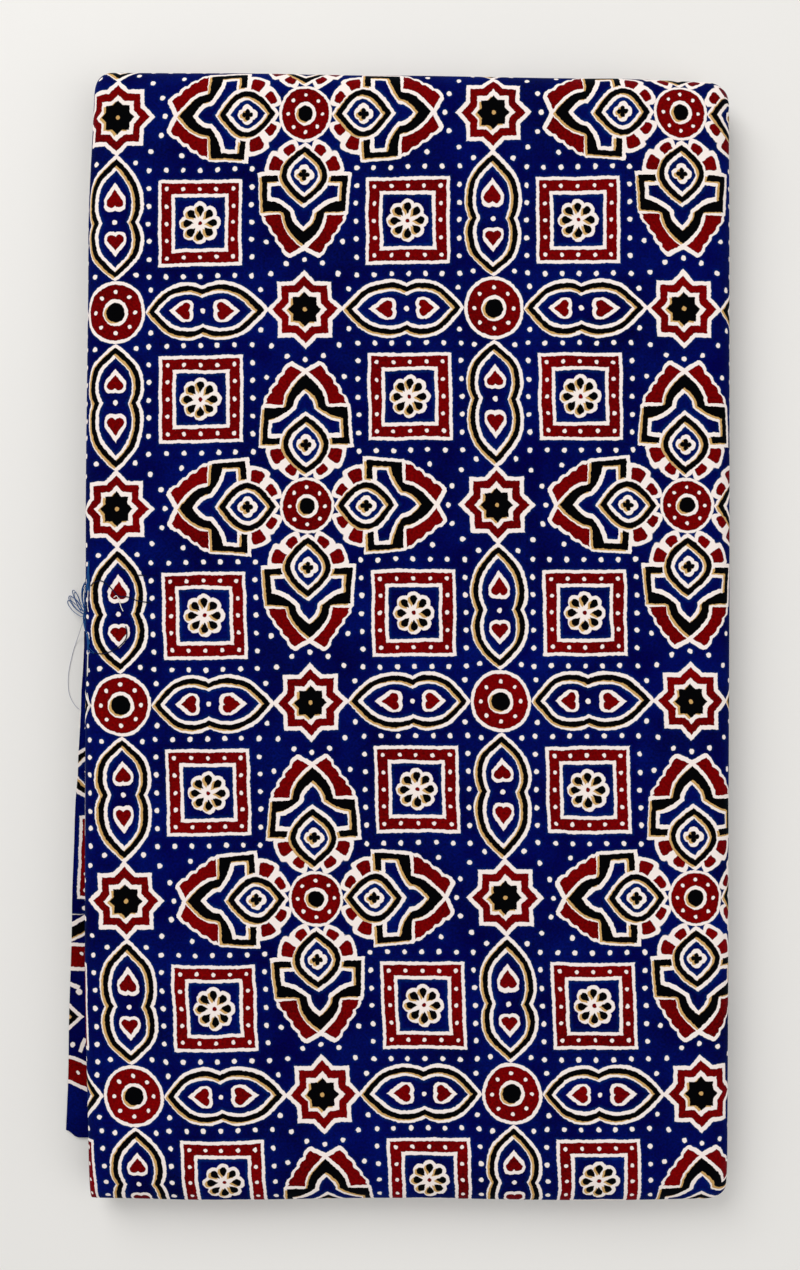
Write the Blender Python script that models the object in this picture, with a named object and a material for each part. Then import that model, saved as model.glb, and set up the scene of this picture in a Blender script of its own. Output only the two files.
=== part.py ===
"""A muslin saree, folded flat.

One long cotton cloth is folded lengthwise in four, and the strip is then laid back and forth into
a flat bundle. The first panel lies at the bottom, wraps round the far edge to become the top panel,
rolls over the near edge, and the rest lies between the two in close folds. The strip is one sheet
here: its four plies and the air between them are its thickness. X runs across the bundle, Y along
it to the far edge, and Z up. The underside of the bottom panel lies on Z = 0.
"""
import math
from typing import NamedTuple

import bmesh
import bpy

# The bundle
WIDTH = 0.291  # over the top panel's rolled sides
LENGTH = 0.512  # from the near roll to the far roll
SHEET = 0.00135  # four plies of muslin, lightly pressed
GAP = 0.0005
PITCH = SHEET + GAP
INNER_PANELS = 11

# Where the strip turns round the outside. A roll's reach is how far its nose stands out in Y
FAR_REACH = 0.013
NEAR_REACH = 0.026
FOLD_RADIUS = PITCH / 2

# The top panel's long sides droop over the bundle: how far the bend reaches in, and how low it goes
LEFT_BEND = 0.0072
LEFT_DROOP = 0.0066
RIGHT_BEND = 0.0100
RIGHT_DROOP = 0.0078

# The bottom panel lies askew: its left side comes out from under the bundle towards its free end
FREE_END_SHORT = 0.0235  # how far the cloth's end stops short of the near edge
FREE_END_CORNER = 0.0030
BOTTOM_WIDTH = 0.287
BOTTOM_OUT_NEAR = 0.0142  # how far its left side lies beyond the top panel's, at the near edge
BOTTOM_OUT_FAR = -0.0036  # and at the far edge
TOUCHING = 0.0001  # what is this near to the surface lies on it

# Steps of the mesh
MIDDLE_STRIPS = 6
DROOP_STRIPS = 3
PANEL_STEPS = 8
ROLL_STEPS = 10
FOLD_STEPS = 6

# Height of the middle of the sheet in the bottom panel, and in the panel above all the inner ones
BOTTOM = SHEET / 2
TOP = BOTTOM + (INNER_PANELS + 1) * PITCH
CLEAR = SHEET / 2 + GAP  # from the middle of one sheet to the face of the next


class Panel(NamedTuple):
    """How unevenly an inner panel lies: how far its sides and its far or near fold are drawn in."""

    left_in: float
    right_in: float
    fold_in: float


# From the lowest inner panel to the highest. The fold is the one at the panel's end
PANELS = (
    Panel(0.0012, 0.0035, 0.0004),
    Panel(0.0004, 0.0022, 0.0030),
    Panel(0.0026, 0.0008, 0.0009),
    Panel(0.0010, 0.0004, 0.0046),
    Panel(0.0031, 0.0017, 0.0002),
    Panel(0.0016, 0.0006, 0.0021),
    Panel(0.0005, 0.0024, 0.0013),
    Panel(0.0020, 0.0011, 0.0038),
    Panel(0.0009, 0.0003, 0.0005),
    Panel(0.0014, 0.0019, 0.0017),
    Panel(0.0007, 0.0010, 0.0960),
)


class Side(NamedTuple):
    """Where the outline wanders off the plain rectangle, at a share of the way across or along."""

    share: float
    low: float
    high: float


# Along the bundle from the near edge to the far one: the left and the right side
SIDES = (
    Side(0.00, 0.0016, -0.0008),
    Side(0.22, -0.0002, -0.0004),
    Side(0.60, 0.0002, 0.0002),
    Side(0.85, 0.0014, 0.0002),
    Side(1.00, 0.0042, 0.0000),
)

# Across the bundle from left to right: the near and the far edge
EDGES = (
    Side(0.00, 0.0004, 0.0014),
    Side(0.20, -0.0006, 0.0012),
    Side(0.45, 0.0003, 0.0002),
    Side(0.80, -0.0007, -0.0011),
    Side(1.00, 0.0002, -0.0030),
)

class Swell(NamedTuple):
    """A soft rise or hollow in the pile, as a share of its height."""

    across: float
    along: float
    radius: float
    share: float


SWELLS = (
    Swell(0.010, 0.070, 0.170, 0.045),
    Swell(-0.070, -0.120, 0.110, 0.030),
    Swell(0.085, -0.160, 0.100, 0.026),
    Swell(0.055, 0.165, 0.095, -0.020),
    Swell(-0.095, 0.150, 0.090, 0.018),
    Swell(0.000, -0.215, 0.080, -0.022),
)


def smooth(share):
    """The share, held between 0 and 1 and eased at both ends."""
    share = min(max(share, 0.0), 1.0)
    return share * share * (3.0 - 2.0 * share)


def mix(low, high, share):
    """The value that lies the share of the way from low to high."""
    return low + (high - low) * share


def wander(table, share):
    """The low and high values of a table of Side rows at this share, eased from row to row."""
    share = min(max(share, 0.0), 1.0)
    for near, far in zip(table, table[1:]):
        if share <= far.share:
            part = smooth((share - near.share) / (far.share - near.share))
            return mix(near.low, far.low, part), mix(near.high, far.high, part)
    return table[-1].low, table[-1].high


def drop_at(x):
    """How far the top panel has drooped at this x."""
    bend, droop = (RIGHT_BEND, RIGHT_DROOP) if x > 0 else (LEFT_BEND, LEFT_DROOP)
    past = min(max(abs(x) - (WIDTH / 2 - bend), 0.0) / bend, 1.0)
    return droop * (1.0 - math.sqrt(1.0 - past * past))


def outer_columns():
    """The x of each point across the top panel, closer together where its sides turn down."""
    turns = [math.pi / 2 * i / DROOP_STRIPS for i in range(DROOP_STRIPS, 0, -1)]
    flat_left = LEFT_BEND - WIDTH / 2
    flat_right = WIDTH / 2 - RIGHT_BEND
    left = [flat_left - LEFT_BEND * math.sin(turn) for turn in turns]
    middle = [mix(flat_left, flat_right, i / MIDDLE_STRIPS) for i in range(MIDDLE_STRIPS + 1)]
    right = [flat_right + RIGHT_BEND * math.sin(turn) for turn in reversed(turns)]
    return left + middle + right


OUTER = outer_columns()


def flat_columns(left, right):
    """The x of each point across a panel that lies flat from left to right."""
    low, high = OUTER[0], OUTER[-1]
    return [mix(left, right, (x - low) / (high - low)) for x in OUTER]


def side_room(bend, droop, height):
    """How far a flat panel at this height stays inside the side that bends and droops this far."""
    past = max(droop - (TOP - height - SHEET / 2), 0.0) / (droop - CLEAR)
    return bend - (bend - CLEAR) * math.sqrt(max(1.0 - past * past, 0.0))


def inner_columns(panel, height):
    """The x of each point across an inner panel."""
    left = side_room(LEFT_BEND, LEFT_DROOP, height) + panel.left_in - WIDTH / 2
    right = WIDTH / 2 - side_room(RIGHT_BEND, RIGHT_DROOP, height) - panel.right_in
    return flat_columns(left, right)


class Roll(NamedTuple):
    """One of the two outer turns: its direction in Y, its reach, its lower sheet and its start."""

    way: int
    reach: float
    low: float

    @property
    def start(self):
        """The distance from the middle of the bundle at which the roll begins."""
        return LENGTH / 2 - SHEET / 2 - self.reach

    @property
    def middle(self):
        """The height at which the nose stands."""
        return (TOP + self.low) / 2

    def nose(self, x):
        """How far the nose stands out at this x. It draws back where the sides droop."""
        return self.reach - drop_at(x)

    def fold_room(self, x, height):
        """How far past the roll's start a fold may reach inside it, at this x and height."""
        tall = TOP - drop_at(x) - self.middle if height > self.middle else self.middle - self.low
        tall -= CLEAR
        off = abs(height - self.middle) + FOLD_RADIUS + SHEET / 2
        if off >= tall:
            return 0.0
        return max(self.nose(x) - CLEAR, 0.0) * math.sqrt(1.0 - (off / tall) ** 2)


FAR = Roll(1, FAR_REACH, BOTTOM)
NEAR = Roll(-1, NEAR_REACH, BOTTOM + PITCH)


def bottom_columns(y):
    """The x of each point across the bottom panel, which lies askew under the rest."""
    out = mix(BOTTOM_OUT_NEAR, BOTTOM_OUT_FAR, y / LENGTH + 0.5)
    left = -WIDTH / 2 - out
    return flat_columns(left, left + BOTTOM_WIDTH)


def bottom_panel():
    """The rows of the bottom panel, from the cloth's free end to the far roll."""
    free = -LENGTH / 2 + FREE_END_SHORT
    rows = []
    for step in range(PANEL_STEPS):
        y = mix(free, FAR.start, step / PANEL_STEPS)
        row = [(x, y, BOTTOM) for x in bottom_columns(y)]
        if step == 0:
            for corner in (0, -1):
                row[corner] = (row[corner][0], y + FREE_END_CORNER, BOTTOM)
        rows.append(row)
    return rows


def roll_rows(roll, below):
    """The rows of an outer roll from its lower sheet to the top, below(y) being the x's it leaves."""
    rows = []
    for step in range(ROLL_STEPS + 1):
        turn = math.pi * step / ROLL_STEPS
        drooped = smooth(2.0 * turn / math.pi)
        row = []
        for x_low, x_top in zip(below(roll.way * roll.start), OUTER):
            y = roll.way * (roll.start + roll.nose(x_top) * math.sin(turn))
            end = roll.low if turn < math.pi / 2 else TOP - drop_at(x_top)
            z = mix(roll.middle, end, abs(math.cos(turn)))
            row.append((mix(x_low, x_top, drooped), y, z))
        rows.append(row)
    return rows


def top_panel():
    """The rows of the top panel between the two rolls, from the far one to the near one."""
    rows = []
    for step in range(1, PANEL_STEPS):
        y = mix(FAR.start, -NEAR.start, step / PANEL_STEPS)
        rows.append([(x, y, TOP - drop_at(x)) for x in OUTER])
    return rows


def fold_end(roll, panel, height, x):
    """The y at which the fold at a panel's end has its centre, at this x."""
    reach = roll.start + roll.fold_room(x, height) - panel.fold_in
    return roll.way * (reach - FOLD_RADIUS - SHEET / 2)


def inner_rows():
    """The rows of all the inner panels and the folds between them, from the near roll inwards."""
    rows = []
    begin = [-NEAR.start] * len(OUTER)
    columns = inner_columns(PANELS[0], BOTTOM + PITCH)
    for index, panel in enumerate(PANELS):
        height = BOTTOM + (index + 1) * PITCH
        roll = FAR if index % 2 == 0 else NEAR
        end = [fold_end(roll, panel, height + FOLD_RADIUS, x) for x in columns]
        for step in range(1 if index == 0 else 0, PANEL_STEPS + 1):
            share = step / PANEL_STEPS
            rows.append([(x, mix(a, b, share), height) for x, a, b in zip(columns, begin, end)])
        if index + 1 == len(PANELS):
            break
        following = inner_columns(PANELS[index + 1], height + PITCH)
        for step in range(1, FOLD_STEPS):
            turn = math.pi * step / FOLD_STEPS
            out = roll.way * FOLD_RADIUS * math.sin(turn)
            up = FOLD_RADIUS * (1.0 - math.cos(turn))
            across = [mix(a, b, step / FOLD_STEPS) for a, b in zip(columns, following)]
            rows.append([(x, y + out, height + up) for x, y in zip(across, end)])
        begin, columns = end, following
    return rows


def settle(x, y, z):
    """Where a point of the neat bundle comes to lie in the real one, which is a little uneven."""
    rise = sum(
        swell.share * math.exp(-((x - swell.across) ** 2 + (y - swell.along) ** 2) / swell.radius**2)
        for swell in SWELLS
    )
    lift = smooth((z - BOTTOM) / PITCH)
    across, along = x / WIDTH + 0.5, y / LENGTH + 0.5
    left, right = wander(SIDES, along)
    near, far = wander(EDGES, across)
    return (
        x + mix(left, right, across) * lift,
        y + mix(near, far, along) * lift,
        BOTTOM + (z - BOTTOM) * (1.0 + rise),
    )


def build_strip():
    """The middle surface of the folded strip, from its free end under the bundle to its inner end."""
    first_inner = inner_columns(PANELS[0], BOTTOM + PITCH)
    far_roll = roll_rows(FAR, bottom_columns)
    near_roll = roll_rows(NEAR, lambda y: first_inner)
    rows = bottom_panel() + far_roll + top_panel() + near_roll[::-1] + inner_rows()
    mesh = bpy.data.meshes.new("saree")
    bm = bmesh.new()
    grid = [[bm.verts.new(settle(*point)) for point in row] for row in rows]
    for row, following in zip(grid, grid[1:]):
        for a, b, c, d in zip(row, row[1:], following[1:], following):
            bm.faces.new((a, b, c, d))
    bmesh.ops.recalc_face_normals(bm, faces=bm.faces)
    bm.to_mesh(mesh)
    bm.free()
    return mesh


def lay_down(mesh):
    """Centres the mesh on X and Y, and puts what all but touches the surface onto it."""
    xs = [vert.co.x for vert in mesh.vertices]
    ys = [vert.co.y for vert in mesh.vertices]
    middle = ((min(xs) + max(xs)) / 2, (min(ys) + max(ys)) / 2)
    for vert in mesh.vertices:
        vert.co.x -= middle[0]
        vert.co.y -= middle[1]
        if vert.co.z < TOUCHING:
            vert.co.z = 0.0


def printed_muslin():
    """Soft cotton muslin, dyed indigo and madder."""
    material = bpy.data.materials.new("printed_muslin")
    material.use_nodes = True
    shader = material.node_tree.nodes["Principled BSDF"]
    shader.inputs["Base Color"].default_value = (0.016, 0.004, 0.120, 1.0)
    shader.inputs["Roughness"].default_value = 0.9
    shader.inputs["Metallic"].default_value = 0.0
    return material


def main():
    """Builds the saree."""
    for old in list(bpy.data.objects):
        bpy.data.objects.remove(old, do_unlink=True)
    mesh = build_strip()
    mesh.materials.append(printed_muslin())
    mesh.shade_smooth()
    saree = bpy.data.objects.new("saree", mesh)
    bpy.context.scene.collection.objects.link(saree)
    sheet = saree.modifiers.new("sheet", "SOLIDIFY")
    sheet.thickness = SHEET
    sheet.offset = 0.0
    bpy.context.view_layer.objects.active = saree
    bpy.ops.object.modifier_apply(modifier=sheet.name)
    lay_down(saree.data)


main()
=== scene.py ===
import logging
import math
from dataclasses import dataclass, field
from enum import Enum
from typing import NamedTuple, Optional, Sequence, Union

import bpy
import numpy as np
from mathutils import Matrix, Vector


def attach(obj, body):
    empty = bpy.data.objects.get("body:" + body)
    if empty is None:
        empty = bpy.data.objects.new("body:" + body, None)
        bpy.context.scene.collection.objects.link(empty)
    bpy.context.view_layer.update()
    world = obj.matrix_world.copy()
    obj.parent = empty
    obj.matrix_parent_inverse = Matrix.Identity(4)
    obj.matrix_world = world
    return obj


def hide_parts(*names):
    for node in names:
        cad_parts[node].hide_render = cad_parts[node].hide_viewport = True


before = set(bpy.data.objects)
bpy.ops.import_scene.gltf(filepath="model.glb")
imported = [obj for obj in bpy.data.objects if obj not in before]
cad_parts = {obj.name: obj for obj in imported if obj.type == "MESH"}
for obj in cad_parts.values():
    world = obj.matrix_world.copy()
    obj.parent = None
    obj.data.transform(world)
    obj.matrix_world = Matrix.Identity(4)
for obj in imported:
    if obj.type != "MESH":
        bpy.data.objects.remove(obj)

log = logging.getLogger("saree")

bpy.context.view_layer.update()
NODE = "saree"


def linear(hex_colour: str) -> tuple[float, float, float, float]:
    """Turns an sRGB hex colour into the linear colour that a shader takes.

    Args:
        hex_colour: Six hex digits, red first.

    Returns:
        Red, green, blue and an alpha of 1.
    """
    parts = (int(hex_colour[i:i + 2], 16) / 255 for i in (0, 2, 4))
    red, green, blue = (c / 12.92 if c <= 0.04045 else ((c + 0.055) / 1.055) ** 2.4 for c in parts)
    return red, green, blue, 1.0


def add_node(tree: bpy.types.NodeTree, kind: str, inputs: dict, **settings: object) -> bpy.types.Node:
    """Adds one node, with its settings, values and links.

    Args:
        tree: The tree that gets the node.
        kind: The node's type name.
        inputs: Input name or index to a value, a Field or another node's socket.
        settings: The node's own properties.

    Returns:
        The new node.
    """
    node = tree.nodes.new(kind)
    for name, value in settings.items():
        setattr(node, name, value)
    for key, value in inputs.items():
        source = value.socket if isinstance(value, Field) else value
        if isinstance(source, bpy.types.NodeSocket):
            tree.links.new(source, node.inputs[key])
        else:
            node.inputs[key].default_value = source
    return node


Number = Union["Field", float]


class Field:
    """A number that changes over the cloth. Sums, products and limits of fields become nodes."""

    def __init__(self, tree: bpy.types.NodeTree, socket: bpy.types.NodeSocket) -> None:
        """Takes a node's output as a field."""
        self.tree = tree
        self.socket = socket

    def math(self, operation: str, *others: Number, clamp: bool = False) -> "Field":
        """This field and the others through one Math node."""
        inputs = dict(enumerate((self, *others)))
        node = add_node(self.tree, "ShaderNodeMath", inputs, operation=operation, use_clamp=clamp)
        return Field(self.tree, node.outputs[0])

    def __add__(self, other: Number) -> "Field":
        """The sum."""
        return self.math("ADD", other)

    def __sub__(self, other: Number) -> "Field":
        """The difference."""
        return self.math("SUBTRACT", other)

    def __mul__(self, other: Number) -> "Field":
        """The product."""
        return self.math("MULTIPLY", other)

    def __neg__(self) -> "Field":
        """The same field with its sign turned."""
        return self.math("MULTIPLY", -1.0)

    def __abs__(self) -> "Field":
        """The field without its sign."""
        return self.math("ABSOLUTE")

    def both(self, *others: Number) -> "Field":
        """The distance to what lies inside all of the shapes."""
        result = self
        for other in others:
            result = result.math("MAXIMUM", other)
        return result

    def either(self, *others: Number) -> "Field":
        """The distance to what lies inside any of the shapes."""
        result = self
        for other in others:
            result = result.math("MINIMUM", other)
        return result

    def times_plus(self, factor: Number, term: Number, clamp: bool = False) -> "Field":
        """The field times a factor, plus a term."""
        return self.math("MULTIPLY_ADD", factor, term, clamp=clamp)

    def inside(self, softness: float) -> "Field":
        """1 inside the shape that this distance describes and 0 outside it, over a soft edge."""
        return self.times_plus(-1.0 / softness, 0.5, clamp=True)


class Place:
    """A point on the folded repeat: along from the rosette's middle, and aside from its axis."""

    def __init__(self, tree: bpy.types.NodeTree, along: Field, aside: Field) -> None:
        """Joins the two fields into a point."""
        self.tree = tree
        self.along = along
        self.aside = aside
        joined = add_node(tree, "ShaderNodeCombineXYZ", {0: along, 1: aside, 2: 0.0})
        self.vector = joined.outputs[0]

    def apart(self, along: float, aside: float) -> Field:
        """How far this place is from a fixed one."""
        there = (along, aside, 0.0)
        node = add_node(self.tree, "ShaderNodeVectorMath", {0: self.vector, 1: there}, operation="DISTANCE")
        return Field(self.tree, node.outputs["Value"])

    def beyond(self, along: float, aside: float, toward: float) -> Field:
        """How far this place lies past a straight edge.

        Args:
            along: A point of the edge.
            aside: The same point.
            toward: The way the edge faces, in degrees from the axis.

        Returns:
            The distance, which is negative on the near side.
        """
        way = (math.cos(math.radians(toward)), math.sin(math.radians(toward)), 0.0)
        node = add_node(
            self.tree, "ShaderNodeVectorMath", {0: self.vector, 1: way}, operation="DOT_PRODUCT"
        )
        return Field(self.tree, node.outputs["Value"]) - (along * way[0] + aside * way[1])

    def moved(self, along: float, aside: float) -> "Place":
        """The same place measured from another point, folded over both ways there."""
        return Place(self.tree, abs(self.along - along), abs(self.aside - aside))

    def under(self, edge: Sequence[tuple[float, float]], reach: float) -> Field:
        """How far this place lies aside of a drawn edge.

        Args:
            edge: The edge's points, as (along, aside) in millimetres.
            reach: The length of the chart both ways, in millimetres.

        Returns:
            The distance sideways, which is negative between the axis and the edge.
        """
        node = add_node(self.tree, "ShaderNodeFloatCurve", {"Value": self.along * (1.0 / reach)})
        curve = node.mapping.curves[0]
        while len(curve.points) < len(edge):
            curve.points.new(0.5, 0.5)
        for point, (along, aside) in zip(curve.points, edge):
            point.location = (along / reach, aside / reach)
            point.handle_type = "VECTOR"
        node.mapping.update()
        return self.aside - Field(self.tree, node.outputs[0]) * reach


class Spot(NamedTuple):
    """A resist dot on the blue ground, in millimetres across and along from the rosette's middle."""

    across: float
    along: float


HALF_REPEAT = 88.0
FLOWER_AT = 48.4  # the middle of the framed flower, both across and along
ROW_OUT = 24.0  # how far each row of dots lies from the flower's middle
ROW_GAP = 8.0
STAR_ARC = 22.5  # the radius of the arc of dots round a star
RING_ARC = 19.0  # and round a ring
BY_WING = (57.5, 17.8)  # the dot beside each wing of the rosette's arms


def ground_spots() -> tuple[Spot, ...]:
    """The dots of the blue ground: rows round each framed flower, and arcs round stars and rings."""
    spots = []
    for step in range(6):
        shift = ROW_GAP * step - ROW_OUT
        for x, y in ((shift, -ROW_OUT), (ROW_OUT, shift), (-shift, ROW_OUT), (-ROW_OUT, -shift)):
            spots.append(Spot(FLOWER_AT + x, FLOWER_AT + y))
    for turn in (180.0, 158.0, 136.0, 114.0):
        across = HALF_REPEAT + STAR_ARC * math.cos(math.radians(turn))
        along = STAR_ARC * math.sin(math.radians(turn))
        spots += [Spot(across, along), Spot(along, across)]
    beside = HALF_REPEAT - RING_ARC * math.sin(math.radians(30.0))
    below = HALF_REPEAT - RING_ARC * math.cos(math.radians(30.0))
    spots += [Spot(beside, below), Spot(below, beside), Spot(*BY_WING), Spot(*BY_WING[::-1])]
    return tuple(spots)


GROUND_SPOTS = ground_spots()
ARCH_STEPS = 12


def arch(
    foot: float, wide: float, tip: float, belly: float, end: float = 0.0, lobes: int = 0
) -> tuple[tuple[float, float], ...]:
    """The edge of a pointed arch.

    Args:
        foot: How far along its foot stands, in millimetres.
        wide: How far aside the edge is at its foot.
        tip: How far along it ends.
        belly: How full it is: 1 is straight, and more swells out.
        end: How far aside the edge is at its tip.
        lobes: How many scallops, a millimetre deep, the edge has.

    Returns:
        The edge's points, as (along, aside).
    """
    points = []
    for step in range(ARCH_STEPS + 1):
        share = step / ARCH_STEPS
        scallop = abs(math.sin(math.pi * share * lobes))
        points.append((foot + (tip - foot) * share, end + (wide - end) * (1.0 - share**belly) + scallop))
    return tuple(points)


class Edge(Enum):
    """Edges of the rosette's arm, from its shoulder to its tip, as (along, aside) in millimetres.

    The shoulders are straight, and the wings and tips are arches.
    """

    OUTLINE = (
        (25.8, 0.0), (26.0, 22.0), (45.0, 20.6), *arch(46.0, 19.6, 64.8, 1.1, 7.0, 4), (65.0, 0.0),
    )
    BLACK = ((27.5, 0.0), (27.7, 20.4), (44.0, 19.2), (44.4, 9.8), *arch(47.0, 9.0, 59.0, 1.7))
    INNER_LINE = (
        (30.4, 0.0), (30.6, 17.6), *arch(39.0, 17.2, 44.4, 0.6, 6.0), *arch(45.6, 5.8, 52.8, 1.7),
    )
    INNER_BLUE = (
        (32.2, 0.0), (32.4, 15.9), *arch(37.4, 15.5, 43.6, 0.6, 4.1), *arch(44.6, 4.0, 50.6, 1.7),
    )
    WING_TOP = ((45.5, 0.0), (45.7, 18.9), *arch(46.6, 18.0, 63.2, 1.1, 6.2, 4), (63.3, 0.0))
    WING_FOOT = ((45.6, 10.8), *arch(47.4, 10.5, 61.2, 1.7))


class Petal(NamedTuple):
    """A small petal that stands out from the eye's middle: the way it points, its foot and its reach."""

    toward: float
    foot: float
    reach: float


# The two small petals on each side of an arm's eye, fanned out from its middle
PETALS = (Petal(109.0, 5.0, 17.0), Petal(147.5, 5.0, 15.2))
PETAL_SPREAD = 108.0  # how far each side of a petal faces away from the way it points, in degrees
PETAL_LINE = 1.75
NOTCH = -27.5  # the way the scalloped outline faces where it draws back to the arm's tip


@dataclass(frozen=True)
class BlockPrint:
    """The resist print in four colours, drawn on its repeat as distances to its shapes.

    The repeat has a rosette at its middle and corners, eight-pointed stars halfway along its sides,
    rings at its quarter points, pointed ovals between stars and rings, and framed flowers between
    them all. Sizes are in millimetres on a repeat of 176.
    """

    repeat: float = 2 * HALF_REPEAT
    across: float = 170.5  # the repeat as printed, across the cloth's strip
    down: float = 176.0  # and along it
    line: float = 1.6
    edge: float = 0.24
    slip: tuple[float, float] = (1.0, 0.55)  # how far the black block was printed off the resist
    rosette: tuple[float, ...] = (12.5, 11.2, 5.3, 3.7)
    ring: tuple[float, ...] = (13.9, 12.4, 5.9, 4.3)
    star: tuple[float, ...] = (17.9, 15.2, 10.5, 7.7)
    square: tuple[float, ...] = (19.5, 18.0, 13.2, 11.6)
    square_at: float = FLOWER_AT
    oval_at: float = 47.4
    eye_at: float = 27.3

    def star_shape(self, place: Place, tip: float) -> Field:
        """An eight-pointed star of two squares."""
        away = place.moved(self.repeat / 2, 0.0)
        upright = away.along.math("MAXIMUM", away.aside) - tip / math.sqrt(2)
        turned = (away.along + away.aside) * (1 / math.sqrt(2)) - tip / math.sqrt(2)
        return upright.either(turned)

    def square_shape(self, place: Place) -> Field:
        """The distance from the middle of the framed flower, as squares have it."""
        away = place.moved(self.square_at, self.square_at)
        return away.along.math("MAXIMUM", away.aside)

    def oval_place(self, place: Place) -> Place:
        """The place in the pointed oval: along from its middle, and out from its axis.

        The half towards the ring is shorter than the half towards the star.
        """
        along = place.aside - self.oval_at
        return Place(place.tree, (along * 1.15).math("MAXIMUM", -along), -(place.along - self.repeat / 2))

    def oval_shape(self, place: Place) -> Field:
        """The pointed oval with a waist that joins a star and a ring."""
        local = self.oval_place(place)
        dip = (local.along * -1.0 + 8.0).math("MAXIMUM", 0.0)
        crown = (dip * dip).times_plus(1 / 32.0, local.aside - 13.3)
        flank = local.apart(8.0, -12.7) - 26.0
        return crown.both(flank).math("SMOOTH_MAX", local.beyond(31.6, 0.0, 46.5), 1.6)

    def eye_shape(self, place: Place) -> Field:
        """The pointed oval in each arm of the rosette."""
        point = (abs(place.along - self.eye_at) * 1.3 + place.aside - 17.8) * 0.61
        return (place.apart(self.eye_at, -5.45) - 16.1).math("SMOOTH_MAX", point, 6.5)

    def eye_flower(self, place: Place, lobe: float, reach: float) -> Field:
        """The four lobes in the middle of the eye."""
        away = place.moved(self.eye_at, 0.0)
        return away.apart(reach, 0.0).either(away.apart(0.0, reach), away.apart(0.0, 0.0)) - lobe

    def eighth(self, place: Place, middle: float) -> tuple[Field, Field]:
        """How far along and aside of the nearest of eight spokes round a middle this place is.

        Args:
            place: The place on the repeat.
            middle: Where the middle lies, both along and aside.

        Returns:
            The distance along the spoke and the distance aside of it.
        """
        x, y = place.along - middle, place.aside - middle
        far = (x * x + y * y).math("SQRT")
        turn = y.math("ARCTAN2", x).math("WRAP", math.pi / 8, -math.pi / 8)
        return far * turn.math("COSINE"), far * turn.math("SINE")

    def heart(self, place: Place) -> tuple[Field, Field]:
        """The two hearts in the pointed oval, with their tips to its points, and their outline."""
        whole = self.oval_place(place)
        local = Place(place.tree, whole.along - 10.4, whole.aside)
        lobe = local.apart(-1.6, 1.75) - 2.1
        wedge = local.beyond(4.3, 0.0, 53.0).both(local.beyond(-1.6, 1.75, 145.0))
        shape = lobe.either(wedge)
        return shape, (shape - 1.8).math("SMOOTH_MAX", local.aside - 5.0, 1.6)

    def arm_petals(self, place: Place, grow: float) -> Field:
        """The two small petals on each side of the eye, near the rosette's middle."""
        shapes = []
        for petal in PETALS:
            cosine, sine = math.cos(math.radians(petal.toward)), math.sin(math.radians(petal.toward))
            foot = (self.eye_at + petal.foot * cosine, petal.foot * sine)
            sides = place.beyond(*foot, petal.toward - PETAL_SPREAD).both(
                place.beyond(*foot, petal.toward + PETAL_SPREAD)
            )
            shapes.append(sides.math("SMOOTH_MAX", place.apart(self.eye_at, 0.0) - petal.reach, 3.2))
        return shapes[0].math("SMOOTH_MIN", shapes[1], 2.4) - grow

    def black(self, place: Place) -> Field:
        """All the black shapes."""
        oval = self.oval_shape(place)
        eye = self.eye_shape(place)
        arm = place.under(Edge.BLACK.value, self.repeat / 2).both(
            -place.under(Edge.INNER_LINE.value, self.repeat / 2), -(eye - self.line)
        )
        petal_along, petal_aside = self.eighth(place, self.square_at)
        petal = Place(place.tree, petal_along, abs(petal_aside))
        petal_shape = (petal.apart(6.2, 0.0) - 1.75).either(
            petal.beyond(3.0, 0.0, 123.0).both(petal.beyond(5.2, 0.0, 0.0))
        )
        shapes = (
            place.apart(self.repeat / 2, self.repeat / 2) - self.ring[3],
            self.star_shape(place, self.star[3]),
            (oval + 1.6).both(-(oval + 4.0)),
            eye.both(-(eye + 2.4)),
            arm,
            self.eye_flower(place, 1.15, 1.5),
            petal_shape,
        )
        return (place.apart(0.0, 0.0) - self.rosette[3]).either(*shapes)

    def quadrant(self, tree: bpy.types.NodeTree, vector: bpy.types.NodeSocket) -> tuple[Field, Field]:
        """Folds a point of the cloth into a quarter of the repeat: across and along from a rosette."""
        half = (self.repeat / 2,) * 3
        wrapped = add_node(
            tree, "ShaderNodeVectorMath", {0: vector, 1: half, 2: tuple(-h for h in half)}, operation="WRAP"
        )
        positive = add_node(tree, "ShaderNodeVectorMath", {0: wrapped.outputs[0]}, operation="ABSOLUTE")
        split = add_node(tree, "ShaderNodeSeparateXYZ", {0: positive.outputs[0]})
        return Field(tree, split.outputs[0]), Field(tree, split.outputs[1])

    def folded(self, tree: bpy.types.NodeTree, vector: bpy.types.NodeSocket) -> Place:
        """Folds a point of the cloth into the eighth of the repeat that holds all of the design."""
        x, y = self.quadrant(tree, vector)
        return Place(tree, x.math("MAXIMUM", y), x.math("MINIMUM", y))

    def black_group(self) -> bpy.types.NodeTree:
        """A node group that gives the distance to the black shapes."""
        tree = bpy.data.node_groups.new("black_block", "ShaderNodeTree")
        tree.interface.new_socket("Vector", in_out="INPUT", socket_type="NodeSocketVector")
        tree.interface.new_socket("Distance", in_out="OUTPUT", socket_type="NodeSocketFloat")
        start = add_node(tree, "NodeGroupInput", {})
        distance = self.black(self.folded(tree, start.outputs[0]))
        add_node(tree, "NodeGroupOutput", {0: distance})
        return tree

    def spots(self, place: Place) -> Field:
        """The dots on the blue ground."""
        nearest = [place.apart(spot.across, spot.along) for spot in GROUND_SPOTS]
        return nearest[0].either(*nearest[1:])

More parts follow.
